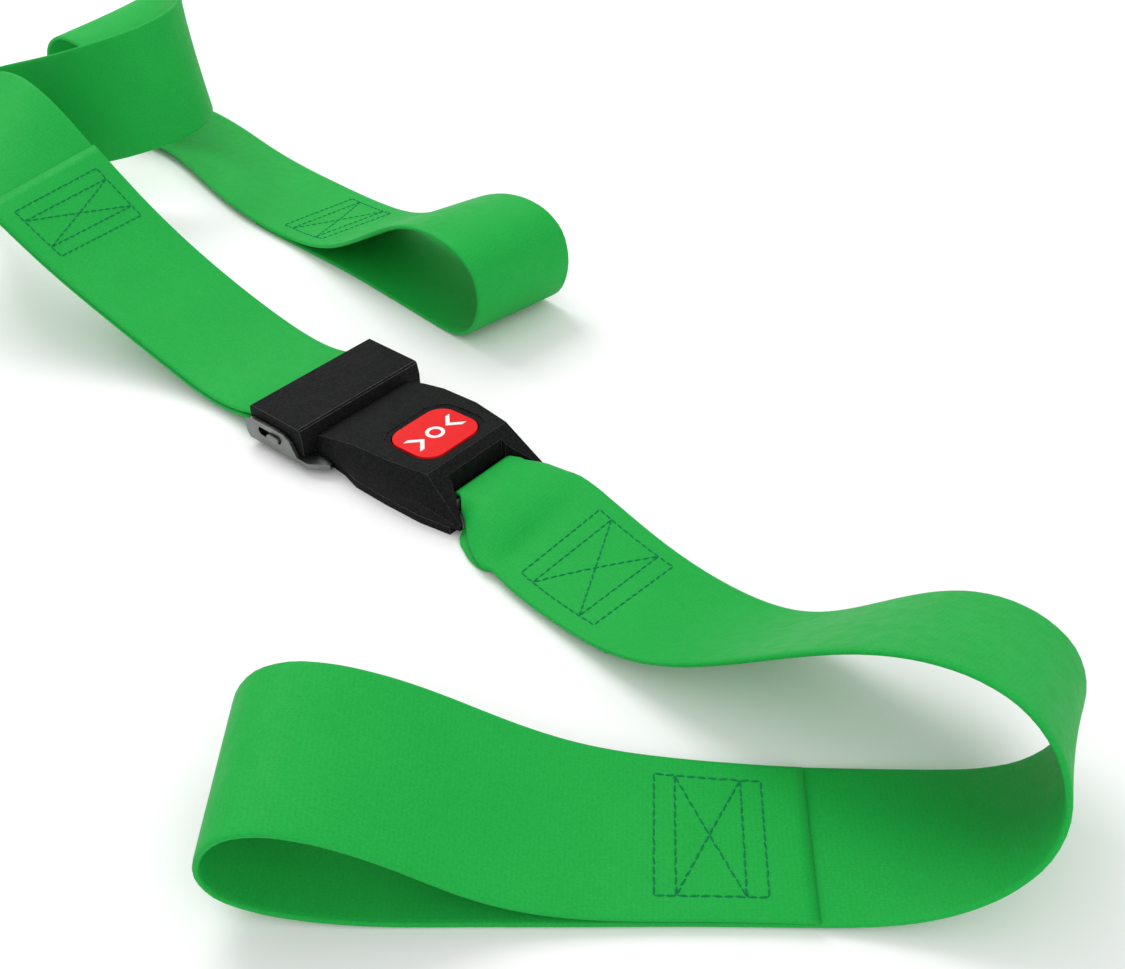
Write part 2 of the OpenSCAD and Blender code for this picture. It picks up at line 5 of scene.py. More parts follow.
import bmesh
import bpy
import numpy as np
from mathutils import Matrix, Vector


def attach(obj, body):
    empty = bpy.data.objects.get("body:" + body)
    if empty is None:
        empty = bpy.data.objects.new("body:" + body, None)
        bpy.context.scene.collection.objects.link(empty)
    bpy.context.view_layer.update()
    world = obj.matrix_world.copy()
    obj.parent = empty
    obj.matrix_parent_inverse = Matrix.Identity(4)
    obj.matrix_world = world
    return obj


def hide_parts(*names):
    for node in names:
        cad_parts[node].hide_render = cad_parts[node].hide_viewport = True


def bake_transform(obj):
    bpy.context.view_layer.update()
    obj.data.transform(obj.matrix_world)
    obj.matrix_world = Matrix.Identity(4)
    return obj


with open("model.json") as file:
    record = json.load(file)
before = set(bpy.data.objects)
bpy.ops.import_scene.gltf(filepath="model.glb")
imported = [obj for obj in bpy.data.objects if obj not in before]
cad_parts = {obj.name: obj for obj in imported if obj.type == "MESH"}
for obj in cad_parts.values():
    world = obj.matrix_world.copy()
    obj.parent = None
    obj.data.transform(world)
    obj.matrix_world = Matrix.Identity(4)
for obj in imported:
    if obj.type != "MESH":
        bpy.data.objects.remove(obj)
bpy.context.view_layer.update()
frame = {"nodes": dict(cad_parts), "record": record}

NODES = frame["nodes"]
BODY_OF = {n: b for b, ns in frame["record"]["behaviour"]["bodies"].items() for n in ns}
MM = 0.001  # the routes below are in millimetres, the scene in metres

# ---------------------------------------------------------------- camera
cam_data = bpy.data.cameras.new("camera")
cam_data.lens = 41.6
cam_data.sensor_width = 36.0
cam = bpy.data.objects.new("camera", cam_data)
cam.location = (0.27935, -0.24978, 0.275)
cam.rotation_euler = (math.radians(52.0), 0.0, math.radians(39.53))
bpy.context.scene.collection.objects.link(cam)
bpy.context.scene.camera = cam

# ---------------------------------------------------------------- the webbing's routes
# The webbing's two edges run on B-splines of these points; u counts the points along them.
WEB_T = 1.8
WEB_W = 50.8
FLOOR_GAP = 0.05
STEP = 1 / 3
A_NEAR = [
    (-33, -25.4, 10.75), (-45, -25.4, 10.75), (-57, -25.4, 6), (-75, -25.5, 4.4),
    (-98, -26, 10), (-128, -29.5, 22), (-158, -34, 36), (-184, -39, 56), (-217, -38, 63),
    (-236, -15, 31), (-262, -2, 13), (-295, 6, 2), (-297, 44, 2), (-265, 54, 14),
    (-233, 57, 25), (-212, 86, 34), (-234, 113, 34), (-270, 115, 30), (-304, 102, 34),
    (-340, 97, 54), (-372, 101, 26), (-341, 101, 2), (-307, 101, 3), (-273, 103, 5),
    (-241, 95, 5), (-209, 85.5, 4), (-177, 79.5, 3), (-146, 78, 3), (-116, 73, 11),
    (-86, 69, 30), (-56, 65, 48), (-15, 62, 42), (-26, 66, 1), (-56, 70, 1),
    (-86, 74, 1), (-116, 77.5, 1), (-146, 79, 1), (-177, 81, 1), (-209, 86, 1),
]
A_FAR = [
    (-33, 25.4, 10.75), (-45, 25.4, 10.75), (-57, 25.4, 6), (-75, 25.6, 4.6),
    (-101, 24.5, 10.5), (-131, 21.5, 22.5), (-159, 17.5, 39.5), (-185, 13.5, 62), (-216, 9, 86),
    (-253, 10, 74), (-282, -1, 60), (-315, 3, 51), (-315, 42, 52), (-282, 52, 62),
    (-251, 52, 73), (-225, 79, 83), (-243, 109, 83), (-273, 126, 79), (-301, 145, 69),
    (-335, 149, 58), (-363, 152, 33), (-343, 151, 1), (-307, 152, 3), (-272, 149.5, 1.5),
    (-238, 141.5, 1), (-205, 135, 2), (-172, 131, 3), (-140, 129, 3), (-108, 122, 10),
    (-79, 119, 27), (-50, 115, 45), (-13, 112, 42), (-19, 114, 1), (-48, 116, 1),
    (-79, 120, 1), (-108, 123, 1), (-140, 128, 1), (-172, 131, 1), (-205, 136, 1),
]
A_END = 36
A_TAIL_END = 5.9
# how far strap A's standing part lies under its tail: round the bar, beside it and farther along
A_DROP = (4.7, 4.0, 2.1)
A_DROP_FADE = (6, 7.3)
# x and z of the turn round the slide bar: where the webbing leaves it, its centre and its height
A_BAR = (-40.5, -30.2, 8.4)
B_NEAR = [
    (28, -18, 9), (52, -24, 5), (72, -31.5, 3), (98, -35, 3), (127, -38.5, 7), (153, -37.5, 22),
    (178, -34, 41), (205, -30, 56.5), (238, -29, 59.5), (257, -37, 31.5), (238.5, -55, 6),
    (213.5, -72, 1), (190, -90.5, 1), (167, -110, 1), (146, -127, 1), (124, -146, 1),
    (93, -168, 8), (104, -161, 41), (130, -138, 26), (147, -125, 9), (167, -110, 3),
    (190, -90.5, 3), (213.5, -72, 3), (238.5, -55, 3),
]
B_FAR = [
    (28, 24, 10), (52, 22.5, 10), (75, 18.5, 9), (102, 13.5, 5), (130, 11, 3), (159, 11, 6),
    (181, 15, 25.5), (205, 19, 43.5), (238, 18, 38), (238, 4, 6), (208, -15, 1),
    (185, -33, 1), (161, -51, 1), (137, -70, 1), (115, -87, 1), (91.5, -105.5, 1),
    (60.5, -129, 6.5), (70.5, -122, 42.5), (98, -99, 33), (117, -85, 19.5), (137, -70, 7),
    (161.5, -51.5, 3), (186, -34.5, 3), (209, -16.5, 3),
]
B_START = 0.8
B_END = 20.95
# the sewn return under strap B, its drop and how far its edges stay inside
B_RETURN_END = 2.7
B_RETURN_DROP = 2.1
B_RETURN_INSET = 0.035
# x, z and radius of the turn round the receiver's bar, and the webbing's half widths at its two ends
B_BAR = (40.6, 6.2, 3.0)
B_BAR_HALF_W = (11.4, 13.6)
B_OVER = [
    [(42.4, -14.8, 8.6), (42.4, -12.6, 9.7), (42.4, 12.6, 9.7), (42.4, 14.8, 8.6)],
    [(44.5, -16.4, 5.6), (44.5, -13.6, 10.3), (44.5, 13.6, 10.3), (44.5, 16.4, 5.6)],
    [(48, -18.3, 4), (48, -15, 10.8), (48, 15, 10.8), (48, 18.3, 4.6)],
    [(53, -23, 3.6), (53, -17, 10.8), (53, 16, 10.8), (53, 19.8, 6.5)],
    [(59, -27.5, 3.3), (59, -18, 9.8), (59, 15, 10.5), (59, 19.6, 8)],
    [(65, -30.2, 3.1), (65, -17, 8), (65, 13, 9.5), (65, 19.8, 9)],
]
B_UNDER = [
    [(65, -29.2, 1), (65, -15, 3.4), (65, 11, 5.4), (65, 18.5, 6)],
    [(59, -28.6, 1), (59, -14, 3), (59, 11.5, 4.4), (59, 18.5, 3.6)],
    [(53, -25.8, 1), (53, -13, 2.6), (53, 12, 2.8), (53, 19.5, 1.4)],
    [(48.5, -22.5, 1), (48.5, -11, 2.6), (48.5, 11, 2.6), (48.5, 19.5, 1)],
    [(45.5, -16, 1.8), (45.5, -9, 3), (45.5, 9, 3), (45.5, 15.5, 1.8)],
    [(43, -11.6, 3.1), (43, -6.5, 3.2), (43, 6.5, 3.2), (43, 11.6, 3.1)],
]


def spline(points, u):
    """A point of the uniform cubic B-spline of the points."""
    i = min(int(math.floor(u + 1e-9)), len(points) - 4)
    f = u - i
    p = [np.array(points[i + k], float) for k in range(4)]
    a, b = (1 - f) ** 3, 3 * f ** 3 - 6 * f * f + 4
    c, d = -3 * f ** 3 + 3 * f * f + 3 * f + 1, f ** 3
    return (a * p[0] + b * p[1] + c * p[2] + d * p[3]) / 6


def lift(p):
    """The point, raised where the webbing would go below the floor."""
    p = np.array(p, float)
    p[2] = max(p[2], WEB_T / 2 + FLOOR_GAP)
    return p


def up_at(near, far, u):
    """The webbing's normal at u, on its upper side."""
    across = spline(far, u) - spline(near, u)
    along = spline(near, u + 0.01) - spline(near, max(0, u - 0.01))
    n = np.cross(across, along)
    n /= np.linalg.norm(n)
    return -n if n[2] < 0 else n


def row(near, far, u, drop=0.0, inset=0.0):
    """Four points across the webbing at u."""
    a, b = spline(near, u), spline(far, u)
    down = up_at(near, far, u) * drop if drop else np.zeros(3)
    return [lift(a + (b - a) * s - down) for s in (inset, 0.25, 0.75, 1 - inset)]


def rows(near, far, u0, u1, drop=0.0, inset=0.0):
    n = round(abs(u1 - u0) / STEP)
    return [row(near, far, u0 + (u1 - u0) * i / n, drop, inset) for i in range(n + 1)]


def wrap(x, z, r, w0, w1, side):
    """Rows of a half turn round a bar at x and z, from below to above."""
    out = []
    for k in range(9):
        a = math.radians(-90 + 22.5 * k)
        w = w0 + (w1 - w0) * k / 8
        px, pz = x + side * r * math.cos(a), z + r * math.sin(a)
        out.append([np.array((px, w * s, pz)) for s in (-1, -0.5, 0.5, 1)])
    return out


def a_drop_at(u):
    """How far strap A's standing part lies below the tail's route at u."""
    start, end = A_DROP_FADE
    if u < 1:
        return A_DROP[1] - (A_DROP[1] - A_DROP[2]) * u
    return A_DROP[2] if u < start else max(0.0, A_DROP[2] * (end - u) / (end - start))


def straight(x, z):
    """A level row across the full width."""
    return [np.array((x, WEB_W / 2 * s, z)) for s in (-1, -0.5, 0.5, 1)]


def key_rows_a():
    """Strap A's rows from its sewn end to its tail, and how many lie before the slide bar."""
    x, bar, z = A_BAR
    r = A_DROP[0] / 2
    steps = range(round(A_END / STEP), -1, -1)
    standing = [row(A_NEAR, A_FAR, i * STEP, a_drop_at(i * STEP)) for i in steps]
    turn = wrap(bar, z, r, WEB_W / 2, WEB_W / 2, 1)
    tail = rows(A_NEAR, A_FAR, 0, 5) + [row(A_NEAR, A_FAR, u) for u in (5.3, 5.6, A_TAIL_END)]
    keys = standing + [straight(x, z - r)] + turn + [straight(x, z + r)] + tail
    return [k[::-1] for k in keys], len(standing) + 1


def key_rows_b():
    """Strap B's rows from its return to its sewn end, and how many lie before it leaves the bar."""
    under = rows(B_NEAR, B_FAR, B_RETURN_END, B_START, B_RETURN_DROP, B_RETURN_INSET)
    turn = wrap(*B_BAR, *B_BAR_HALF_W, -1)
    over = rows(B_NEAR, B_FAR, B_START, B_END)
    return under + B_UNDER + turn + B_OVER + over, len(under) + len(B_UNDER) + len(turn)


def smooth_rows(key, spacing):
    """Rows about spacing apart on smooth curves through the key rows."""
    key = np.array(key, float)
    centre = key.mean(axis=1)
    seg = np.maximum(np.linalg.norm(np.diff(centre, axis=0), axis=1), 0.2)
    s = np.concatenate([[0], np.cumsum(seg)])
    slope = np.zeros_like(key)
    for i in range(len(key)):
        if i == 0:
            slope[i] = (key[1] - key[0]) / seg[0]
        elif i == len(key) - 1:
            slope[i] = (key[-1] - key[-2]) / seg[-1]
        else:
            d0 = (key[i] - key[i - 1]) / seg[i - 1]
            d1 = (key[i + 1] - key[i]) / seg[i]
            slope[i] = (d0 * seg[i] + d1 * seg[i - 1]) / (seg[i] + seg[i - 1])
    out, at = [], []
    for i in range(len(key) - 1):
        n = max(2, int(round(seg[i] / spacing)))
        for k in range(n + (i == len(key) - 2)):
            t = k / n
            h = seg[i]
            out.append(
                (2 * t ** 3 - 3 * t * t + 1) * key[i] + (t ** 3 - 2 * t * t + t) * h * slope[i]
                + (-2 * t ** 3 + 3 * t * t) * key[i + 1] + (t ** 3 - t * t) * h * slope[i + 1]
            )
            at.append(s[i] + t * h)
    return np.array(out), np.array(at)


# share of the width and of the half thickness at each point across the webbing
SELVEDGE = [(0.0, 0.30), (0.006, 0.72), (0.016, 0.93), (0.035, 1.0)]
MIDDLE = [(share, 1.0) for share in (0.1, 0.18, 0.26, 0.34, 0.42, 0.5, 0.58, 0.66, 0.74, 0.82, 0.9)]
FAR_SELVEDGE = [(0.965, 1.0), (0.984, 0.93), (0.994, 0.72), (1.0, 0.30)]
PROFILE = SELVEDGE + MIDDLE + FAR_SELVEDGE
FOLD_REACH = 0.1
ROW_SPACING = 3.0


def across(r, share):
    """A point of a row of four control points, with the folds between its straights rounded."""
    knots = (0.0, 0.25, 0.75, 1.0)

    def at(s):
        s = min(max(s, 0.0), 1.0)
        for k in range(3):
            if s <= knots[k + 1] or k == 2:
                f = (s - knots[k]) / (knots[k + 1] - knots[k])
                return r[k] + (r[k + 1] - r[k]) * f

    reach = min(FOLD_REACH, share, 1 - share)
    if reach < 1e-6:
        return at(share)
    return sum(at(share + reach * k / 3) for k in range(-3, 4)) / 7


def mesh_object(name, verts, faces, materials, uvs=None):
    """A smooth mesh of points in metres, in the scene."""
    me = bpy.data.meshes.new(name)
    me.from_pydata([tuple(v) for v in verts], [], faces)
    if uvs is not None:
        layer = me.uv_layers.new(name="UVMap")
        flat = []
        for poly in me.polygons:
            for li in poly.loop_indices:
                flat.extend(uvs[me.loops[li].vertex_index])
        layer.data.foreach_set("uv", flat)
    me.polygons.foreach_set("use_smooth", [True] * len(me.polygons))
    me.update()
    o = bpy.data.objects.new(name, me)
    bpy.context.scene.collection.objects.link(o)
    for m in materials:
        me.materials.append(m)
    return o


def webbing(name, key, materials):
    """The webbing as one closed sheet with rounded selvedges and square cut ends."""
    grid, at = smooth_rows(key, ROW_SPACING)
    pts = np.array([[across(r, s) for s, _ in PROFILE] for r in grid])
    along = np.gradient(pts, axis=0)
    side = np.gradient(pts, axis=1)
    normal = np.cross(side, along)
    normal /= np.linalg.norm(normal, axis=2, keepdims=True)
    half = np.array([h for _, h in PROFILE])[None, :, None] * WEB_T / 2
    top, bottom = pts + normal * half, pts - normal * half
    n, m = len(pts), len(PROFILE)
    verts = np.concatenate([top, bottom[:, ::-1]], axis=1).reshape(-1, 3) * MM
    shares = [share for share, _ in PROFILE]
    uvs = [(at[i] * MM, share * WEB_W * MM) for i in range(n) for share in shares + shares[::-1]]
    faces = []
    w = 2 * m
    for i in range(n - 1):
        for k in range(w):
            a, b = w * i + k, w * i + (k + 1) % w
            faces.append((a, b, b + w, a + w))
    caps = len(faces)
    for k in range(m - 1):
        faces.append((k + 1, k, w - 1 - k, w - 2 - k))
        e = w * (n - 1)
        faces.append((e + k, e + k + 1, e + w - 2 - k, e + w - 1 - k))
    o = mesh_object(name, verts, faces, materials, uvs=uvs)
    for poly in o.data.polygons[caps:]:
        poly.use_smooth = False
        poly.material_index = 1
    return o


# ---------------------------------------------------------------- materials
def new_material(name):
    m = bpy.data.materials.new(name)
    m.use_nodes = True
    nt = m.node_tree
    return m, nt, nt.nodes["Principled BSDF"]


def coords(nt, uv=False):
    return nt.nodes.new("ShaderNodeTexCoord").outputs["UV" if uv else "Object"]


def mapping(nt, vec, scale):
    mp = nt.nodes.new("ShaderNodeMapping")
    mp.inputs["Scale"].default_value = scale
    nt.links.new(vec, mp.inputs["Vector"])
    return mp.outputs["Vector"]


def noise(nt, vec, scale, detail=3.0, rough=0.55):
    n = nt.nodes.new("ShaderNodeTexNoise")
    n.inputs["Scale"].default_value = scale
    n.inputs["Detail"].default_value = detail
    n.inputs["Roughness"].default_value = rough
    nt.links.new(vec, n.inputs["Vector"])
    return n.outputs["Fac"]


def ramp(nt, fac, stops):
    r = nt.nodes.new("ShaderNodeValToRGB")
    while len(r.color_ramp.elements) < len(stops):
        r.color_ramp.elements.new(0.5)
    for e, (pos, col) in zip(r.color_ramp.elements, stops):
        e.position = pos
        e.color = (*col, 1) if len(col) == 3 else col
    nt.links.new(fac, r.inputs["Fac"])
    return r.outputs["Color"]


def remap(nt, fac, a, b, c, d):
    n = nt.nodes.new("ShaderNodeMapRange")
    n.inputs["From Min"].default_value = a
    n.inputs["From Max"].default_value = b
    n.inputs["To Min"].default_value = c
    n.inputs["To Max"].default_value = d
    nt.links.new(fac, n.inputs["Value"])
    return n.outputs["Result"]


def bump(nt, height, strength, distance, normal=None):
    b = nt.nodes.new("ShaderNodeBump")
    b.inputs["Strength"].default_value = strength
    b.inputs["Distance"].default_value = distance
    nt.links.new(height, b.inputs["Height"])
    if normal is not None:
        nt.links.new(normal, b.inputs["Normal"])
    return b.outputs["Normal"]


def wave(nt, vec, scale, direction):
    n = nt.nodes.new("ShaderNodeTexWave")
    n.wave_type = "BANDS"
    n.bands_direction = direction
    n.inputs["Scale"].default_value = scale
    n.inputs["Distortion"].default_value = 0.0
    nt.links.new(vec, n.inputs["Vector"])
    return n.outputs["Fac"]


def math_node(nt, op, a, b):
    n = nt.nodes.new("ShaderNodeMath")
    n.operation = op
    for s, v in zip(n.inputs, (a, b)):
        if isinstance(v, (int, float)):
            s.default_value = v
        else:
            nt.links.new(v, s)
    return n.outputs[0]


def finish_look(nt, p, colour, rough, normal, specular=None):
    """Links a shader's colour, roughness and normal, and sets its specular level."""
    nt.links.new(colour, p.inputs["Base Color"])
    nt.links.new(rough, p.inputs["Roughness"])
    nt.links.new(normal, p.inputs["Normal"])
    if specular is not None:
        p.inputs["Specular IOR Level"].default_value = specular


def blend_of(nt, a, share_a, b, share_b):
    return math_node(nt, "ADD", math_node(nt, "MULTIPLY", a, share_a), math_node(nt, "MULTIPLY", b, share_b))


def webbing_material(name, colour, dark, weave_bump=0.15):
    """Coated webbing: a fine weave along u and v, with grain and a slight mottle."""
    m, nt, p = new_material(name)
    uv, ob = coords(nt, uv=True), coords(nt)
    weave = blend_of(nt, wave(nt, uv, 240, "X"), 0.55, wave(nt, uv, 330, "Y"), 0.45)
    grain = blend_of(nt, noise(nt, ob, 1500, 3.0, 0.7), 0.72, weave, 0.08)
    mottle = math_node(nt, "MULTIPLY", noise(nt, ob, 60, 4.0), 0.2)
    tint = ramp(nt, math_node(nt, "ADD", mottle, grain), [(0.36, dark), (0.64, colour)])
    rough = remap(nt, noise(nt, ob, 250, 3.0), 0.3, 0.7, 0.50, 0.64)
    woven = bump(nt, weave, weave_bump, 0.00012)
    grained = bump(nt, noise(nt, ob, 2600, 3.0), 0.35, 0.00010, woven)
    finish_look(nt, p, tint, rough, bump(nt, noise(nt, ob, 35, 2.0), 0.25, 0.0012, grained), 0.1)
    return m


def plastic_material(name, colour, light, rough, wear_and_highlight=False):
    """A grained moulding; the edge variant is lighter in patches, partly rubbed wear and partly painted
    highlight along the rounded edges.
    """
    m, nt, p = new_material(name)
    ob = coords(nt)
    if wear_and_highlight:
        # painted highlight and wear: light patches on the rounded edges, partly rubbed wear and partly light
        # painted where the edges catch the lamps
        wear_and_highlight_patches = math_node(nt, "MULTIPLY", noise(nt, ob, 420, 4.0, 0.7), noise(nt, ob, 90, 2.0))
        tint = ramp(nt, wear_and_highlight_patches, [(0.12, colour), (0.25, light)])
    else:
        tint = ramp(nt, noise(nt, ob, 1100, 4.0, 0.7), [(0.38, colour), (0.66, light)])
    rough = remap(nt, noise(nt, ob, 220, 3.0), 0.3, 0.7, rough - 0.04, rough + 0.06)
    grained = bump(nt, noise(nt, ob, 1500, 3.0), 0.55, 0.00016)
    finish_look(nt, p, tint, rough, bump(nt, noise(nt, ob, 110, 2.0), 0.10, 0.0005, grained), 0.07)
    return m


def gloss_material(name, colour, light, rough):
    """A smooth moulding."""
    m, nt, p = new_material(name)
    ob = coords(nt)
    tint = ramp(nt, noise(nt, ob, 90, 3.0), [(0.3, colour), (0.8, light)])
    rough = remap(nt, noise(nt, ob, 500, 4.0), 0.3, 0.75, rough, rough + 0.14)
    finish_look(nt, p, tint, rough, bump(nt, noise(nt, ob, 700, 3.0), 0.06, 0.0001), 0.12)
    return m


def steel_material(name, colour, rough):
    """Steel with a grain along x and faint blots."""
    m, nt, p = new_material(name)
    ob = coords(nt)
    p.inputs["Metallic"].default_value = 1.0
    blot = noise(nt, ob, 140, 4.0)
    dark = tuple(c * 0.72 for c in colour)
    tint = ramp(nt, blot, [(0.3, dark), (0.62, colour)])
    rough = remap(nt, blot, 0.3, 0.7, rough - 0.06, rough + 0.12)
    grain = noise(nt, mapping(nt, ob, (30, 900, 900)), 1.0, 4.0)
    finish_look(nt, p, tint, rough, bump(nt, grain, 0.12, 0.00006))
    return m


def thread_material(name, colour, light):
    """Bonded sewing thread."""
    m, nt, p = new_material(name)
    ob = coords(nt)
    twist = noise(nt, ob, 1800, 2.0)
    tint = ramp(nt, twist, [(0.3, colour), (0.7, light)])
    rough = remap(nt, twist, 0.3, 0.7, 0.5, 0.7)
    finish_look(nt, p, tint, rough, bump(nt, noise(nt, ob, 4200, 1.0), 0.6, 0.00012), 0.1)
    return m


# each material's name, its kind and what that kind is given
LOOKS = {
    "webbing_green": (webbing_material, (0.0145, 0.402, 0.061), (0.0105, 0.335, 0.048)),
    "webbing_cut": (webbing_material, (0.014, 0.38, 0.058), (0.010, 0.27, 0.042), 0.8),
    "thread_green": (thread_material, (0.003, 0.160, 0.054), (0.007, 0.240, 0.086)),
    "cover_plastic": (plastic_material, (0.0040, 0.0041, 0.0042), (0.0130, 0.0134, 0.0134), 0.62),
    # the covers' rounded edges: rubbed wear and painted highlight, much lighter than the plain cover
    "cover_edge": (plastic_material, (0.0070, 0.0070, 0.0074), (0.17, 0.17, 0.174), 0.45, True),
    "button_plastic": (gloss_material, (0.70, 0.0060, 0.0080), (0.80, 0.0085, 0.0105), 0.36),
    "mark_white": (gloss_material, (0.83, 0.82, 0.80), (0.88, 0.88, 0.87), 0.3),
    "ejector_plastic": (plastic_material, (0.62, 0.60, 0.52), (0.70, 0.68, 0.6), 0.45),
    "plated_steel": (steel_material, (0.205, 0.222, 0.208), 0.27),
    "frame_steel": (steel_material, (0.085, 0.090, 0.086), 0.42),
    "spring_steel": (steel_material, (0.42, 0.42, 0.43), 0.30),
    "screw_steel": (steel_material, (0.22, 0.22, 0.24), 0.38),
}
MAT = {name: kind(name, *values) for name, (kind, *values) in LOOKS.items()}

# ---------------------------------------------------------------- the webbing
key_a, split_a = key_rows_a()
strap_a = webbing("strap_a", key_a, [MAT["webbing_green"], MAT["webbing_cut"]])
key_b, split_b = key_rows_b()
strap_b = webbing("strap_b", key_b, [MAT["webbing_green"], MAT["webbing_cut"]])
for o, node in ((strap_a, "strap_a_webbing"), (strap_b, "strap_b_webbing")):
    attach(o, BODY_OF[node])
    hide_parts(node)


# ---------------------------------------------------------------- stitching
THREAD_R = 0.23
STITCH_PITCH = 2.8
STITCH_GAP = 0.03
STITCH_SIDES = 8
STITCH_RINGS = 7
BOX_LOW, BOX_HIGH = 0.13, 0.87


def box_lines(u0, u1, inset):
    """A sewn box's outline, a second row inside each end and a cross, as (u, share of the width)."""
    lo, hi = BOX_LOW, BOX_HIGH
    lines = [((u0, lo), (u1, lo)), ((u1, lo), (u1, hi)), ((u1, hi), (u0, hi)), ((u0, hi), (u0, lo))]
    lines += [((u0 + inset, lo), (u0 + inset, hi)), ((u1 - inset, lo), (u1 - inset, hi))]
    lines += [((u0 + inset, lo), (u1 - inset, hi)), ((u0 + inset, hi), (u1 - inset, lo))]
    return lines


def sewn_line(near, far, start, end):
    """Points and normals along one line of the box, and the distance to each."""
    line, ups = [], []
    for t in np.linspace(0, 1, 41):
        u = start[0] + (end[0] - start[0]) * t
        a, b = lift(spline(near, u)), lift(spline(far, u))
        line.append(a + (b - a) * (start[1] + (end[1] - start[1]) * t))
        ups.append(up_at(near, far, u))
    run = np.concatenate([[0], np.cumsum(np.linalg.norm(np.diff(line, axis=0), axis=1))])
    return np.array(line), np.array(ups), run


def at_distance(values, run, d):
    """The value d along the line, kept between its ends."""
    d = min(max(d, 0), run[-1])
    return np.array([np.interp(d, run, values[:, c]) for c in range(3)])


def add_stitch(verts, faces, line, ups, run, d0, d1, sway):
    """One stitch from d0 to d1, whose thread rises from the webbing and sinks back."""
    base = len(verts)
    for k in range(STITCH_RINGS):
        t = k / (STITCH_RINGS - 1)
        d = min(max(d0 + (d1 - d0) * t, 0), run[-1])
        up = at_distance(ups, run, d)
        fwd = at_distance(line, run, d + 0.2) - at_distance(line, run, d - 0.2)
        right = np.cross(fwd / np.linalg.norm(fwd), up)
        swell = math.sin(math.pi * (0.06 + 0.88 * t)) ** 0.5
        rise = WEB_T / 2 + THREAD_R * 0.5 - 0.5 * (1 - swell)
        mid = at_distance(line, run, d) + up * rise + right * sway * (2 * t - 1)
        r = THREAD_R * (0.55 + 0.45 * swell)
        for j in range(STITCH_SIDES):
            a = 2 * math.pi * j / STITCH_SIDES
            verts.append((mid + (right * math.cos(a) + up * math.sin(a)) * r) * MM)
    for k in range(STITCH_RINGS - 1):
        for j in range(STITCH_SIDES):
            a, b = base + STITCH_SIDES * k + j, base + STITCH_SIDES * k + (j + 1) % STITCH_SIDES
            faces.append((a, b, b + STITCH_SIDES, a + STITCH_SIDES))
    faces.append(tuple(base + j for j in range(STITCH_SIDES - 1, -1, -1)))
    faces.append(tuple(base + STITCH_SIDES * (STITCH_RINGS - 1) + j for j in range(STITCH_SIDES)))


def stitched(name, near, far, u0, u1, inset, node, seed):
    """A box of single lock stitches, each a little out of line."""
    rnd = random.Random(seed)
    verts, faces = [], []
    for start, end in box_lines(u0, u1, inset):
        line, ups, run = sewn_line(near, far, start, end)
        count = max(3, round(run[-1] / STITCH_PITCH))
        pitch = run[-1] / count
        for i in range(count):
            d0 = pitch * (i + STITCH_GAP) + rnd.uniform(-0.05, 0.05)
            d1 = pitch * (i + 1 - STITCH_GAP) + rnd.uniform(-0.05, 0.05)
            add_stitch(verts, faces, line, ups, run, d0, d1, rnd.uniform(-0.18, 0.18))
    o = mesh_object(name, verts, faces, [MAT["thread_green"]])
    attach(o, BODY_OF[node])
    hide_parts(node)
    return o


tail_stitch = stitched("stitches_a_tail", A_NEAR, A_FAR, 4.9, 5.65, 0.16, "strap_a_tail_stitching", 1)
loop_a_stitch = stitched("stitches_a_loop", A_NEAR, A_FAR, 25.5, 26.45, 0.18, "strap_a_loop_stitching", 2)
bar_stitch = stitched("stitches_b_bar", B_NEAR, B_FAR, 1.18, 2.4, 0.22, "strap_b_bar_stitching", 3)
loop_b_stitch = stitched("stitches_b_loop", B_NEAR, B_FAR, 19.64, 20.57, 0.18, "strap_b_loop_stitching", 4)


# ---------------------------------------------------------------- the hard parts
FLAT_AREA = 5e-6  # square metres
EDGE_ANGLE = 28.0


def finished(node, width, materials, flat):
    """A copy of a CAD node with its edges rounded; the rounded edges take the last material.

    With flat, its large faces are shaded flat, as pressed and machined faces are."""
    me = NODES[node].data.copy()
    me.name = node + "_finished"
    me.transform(NODES[node].matrix_world)
    bm = bmesh.new()
    bm.from_mesh(me)
    bmesh.ops.remove_doubles(bm, verts=bm.verts, dist=2e-6)
    bmesh.ops.dissolve_limit(
        bm, angle_limit=math.radians(0.6), use_dissolve_boundaries=False, verts=bm.verts, edges=bm.edges
    )
    bm.to_mesh(me)
    bm.free()
    me.materials.clear()
    for m in materials:
        me.materials.append(m)
    me.polygons.foreach_set("material_index", [0] * len(me.polygons))
    me.polygons.foreach_set("use_smooth", [True] * len(me.polygons))
    o = bpy.data.objects.new(node + "_finished", me)
    bpy.context.scene.collection.objects.link(o)
    b = o.modifiers.new("edges", "BEVEL")
    b.width = width
    b.segments = 3
    b.limit_method = "ANGLE"
    b.angle_limit = math.radians(EDGE_ANGLE)
    b.use_clamp_overlap = True
    b.miter_outer = "MITER_ARC"
    b.harden_normals = not flat
    b.material = len(materials) - 1
    deps = bpy.context.evaluated_depsgraph_get()
    baked = bpy.data.meshes.new_from_object(o.evaluated_get(deps))
    o.modifiers.clear()
    o.data = baked
    if flat:
        for poly in baked.polygons:
            poly.use_smooth = poly.area < FLAT_AREA
    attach(o, BODY_OF[node])
    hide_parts(node)
    return o


SLOT = {s["node"]: s["material_slot"] for s in frame["record"]["subparts"]}
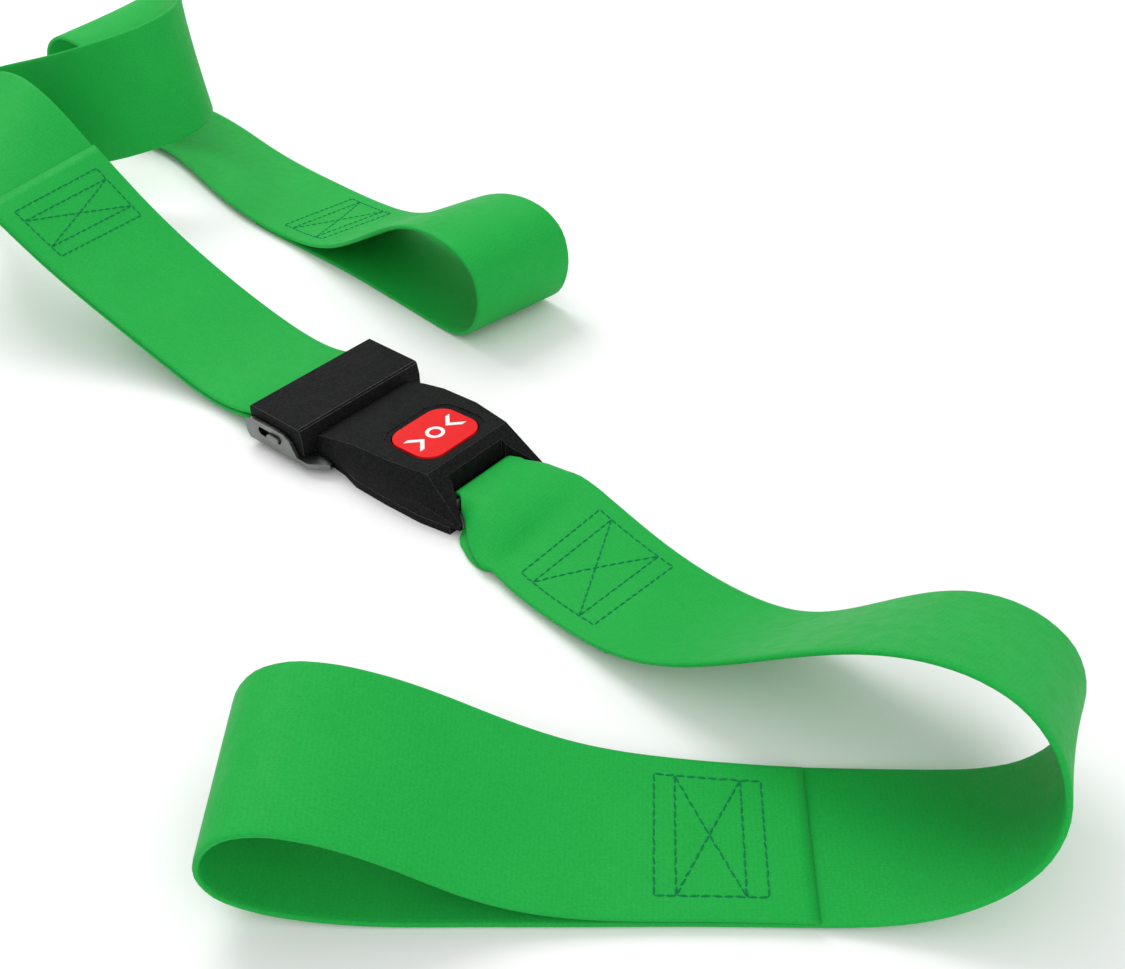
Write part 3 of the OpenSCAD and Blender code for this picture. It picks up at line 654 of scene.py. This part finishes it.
# the covers' rounded edges take the second material, with its painted highlight and wear
COVER = [MAT["cover_plastic"], MAT["cover_edge"]]
BEVELS = {
    "receiver_top_cover": (0.0006, COVER),
    "receiver_bottom_cover": (0.0004, COVER),
    "slide_bar_cover": (0.0005, COVER),
    "push_button": (0.0007, [MAT["button_plastic"]]),
    "tongue_plate": (0.0003, [MAT["plated_steel"]]),
    "slide_bar": (0.0003, [MAT["plated_steel"]]),
    "receiver_frame": (0.0002, [MAT["frame_steel"]]),
    "ejector": (0.0003, [MAT["ejector_plastic"]]),
}
for node, (width, mats) in BEVELS.items():
    o = finished(node, width, mats, flat=mats is not COVER)
# sprung parts: the body that moves their free end, where they are held and where that body has them; the
# loop below reads none of these three, and the copies are neither bent nor attached to that body
FLEX = {
    "button_springs": ("button", (0, 0, 0.0034), (0, 0, 0.0114)),
    "ejector_springs": ("ejector", (0.0276, 0, 0), (0.0161, 0, 0)),
    "latch_leaf": ("button", (0.026, 0, 0), (-0.010, 0, 0)),
}
for node, (body, held, moved) in FLEX.items():
    me = NODES[node].data.copy()
    me.transform(NODES[node].matrix_world)
    me.materials.clear()
    me.materials.append(MAT[SLOT[node]])
    o = bpy.data.objects.new(node + "_flexing", me)
    bpy.context.scene.collection.objects.link(o)
    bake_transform(o)
    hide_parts(node)
for node in NODES:
    if node in BEVELS or node in FLEX or node.startswith("strap_"):
        continue
    NODES[node].data.materials.clear()
    NODES[node].data.materials.append(MAT[SLOT[node]])

# ---------------------------------------------------------------- floor, world and lights
me = bpy.data.meshes.new("floor")
me.from_pydata([(-4, -4, 0), (4, -4, 0), (4, 4, 0), (-4, 4, 0)], [], [(0, 1, 2, 3)])
floor = bpy.data.objects.new("floor", me)
bpy.context.scene.collection.objects.link(floor)
m, nt, p = new_material("floor_pale")
p.inputs["Base Color"].default_value = (0.93, 0.93, 0.93, 1)
p.inputs["Roughness"].default_value = 0.9
p.inputs["Specular IOR Level"].default_value = 0.1
me.materials.append(m)

world = bpy.data.worlds.new("studio")
world.use_nodes = True
world.node_tree.nodes["Background"].inputs["Color"].default_value = (1.0, 1.0, 1.0, 1)
world.node_tree.nodes["Background"].inputs["Strength"].default_value = 0.77
bpy.context.scene.world = world
bpy.context.scene.view_settings.view_transform = "Standard"


def softbox(name, place, target, size, power):
    d = bpy.data.lights.new(name, "AREA")
    d.shape = "SQUARE"
    d.size = size
    d.energy = power
    o = bpy.data.objects.new(name, d)
    o.location = place
    o.rotation_euler = (Vector(target) - Vector(place)).to_track_quat("-Z", "Y").to_euler()
    bpy.context.scene.collection.objects.link(o)


softbox("key_light", (-0.75, 0.25, 1.0), (0.0, 0.0, 0.0), 0.7, 7.5)
softbox("fill_light", (0.9, -0.5, 0.8), (0.0, 0.0, 0.0), 1.0, 4.0)
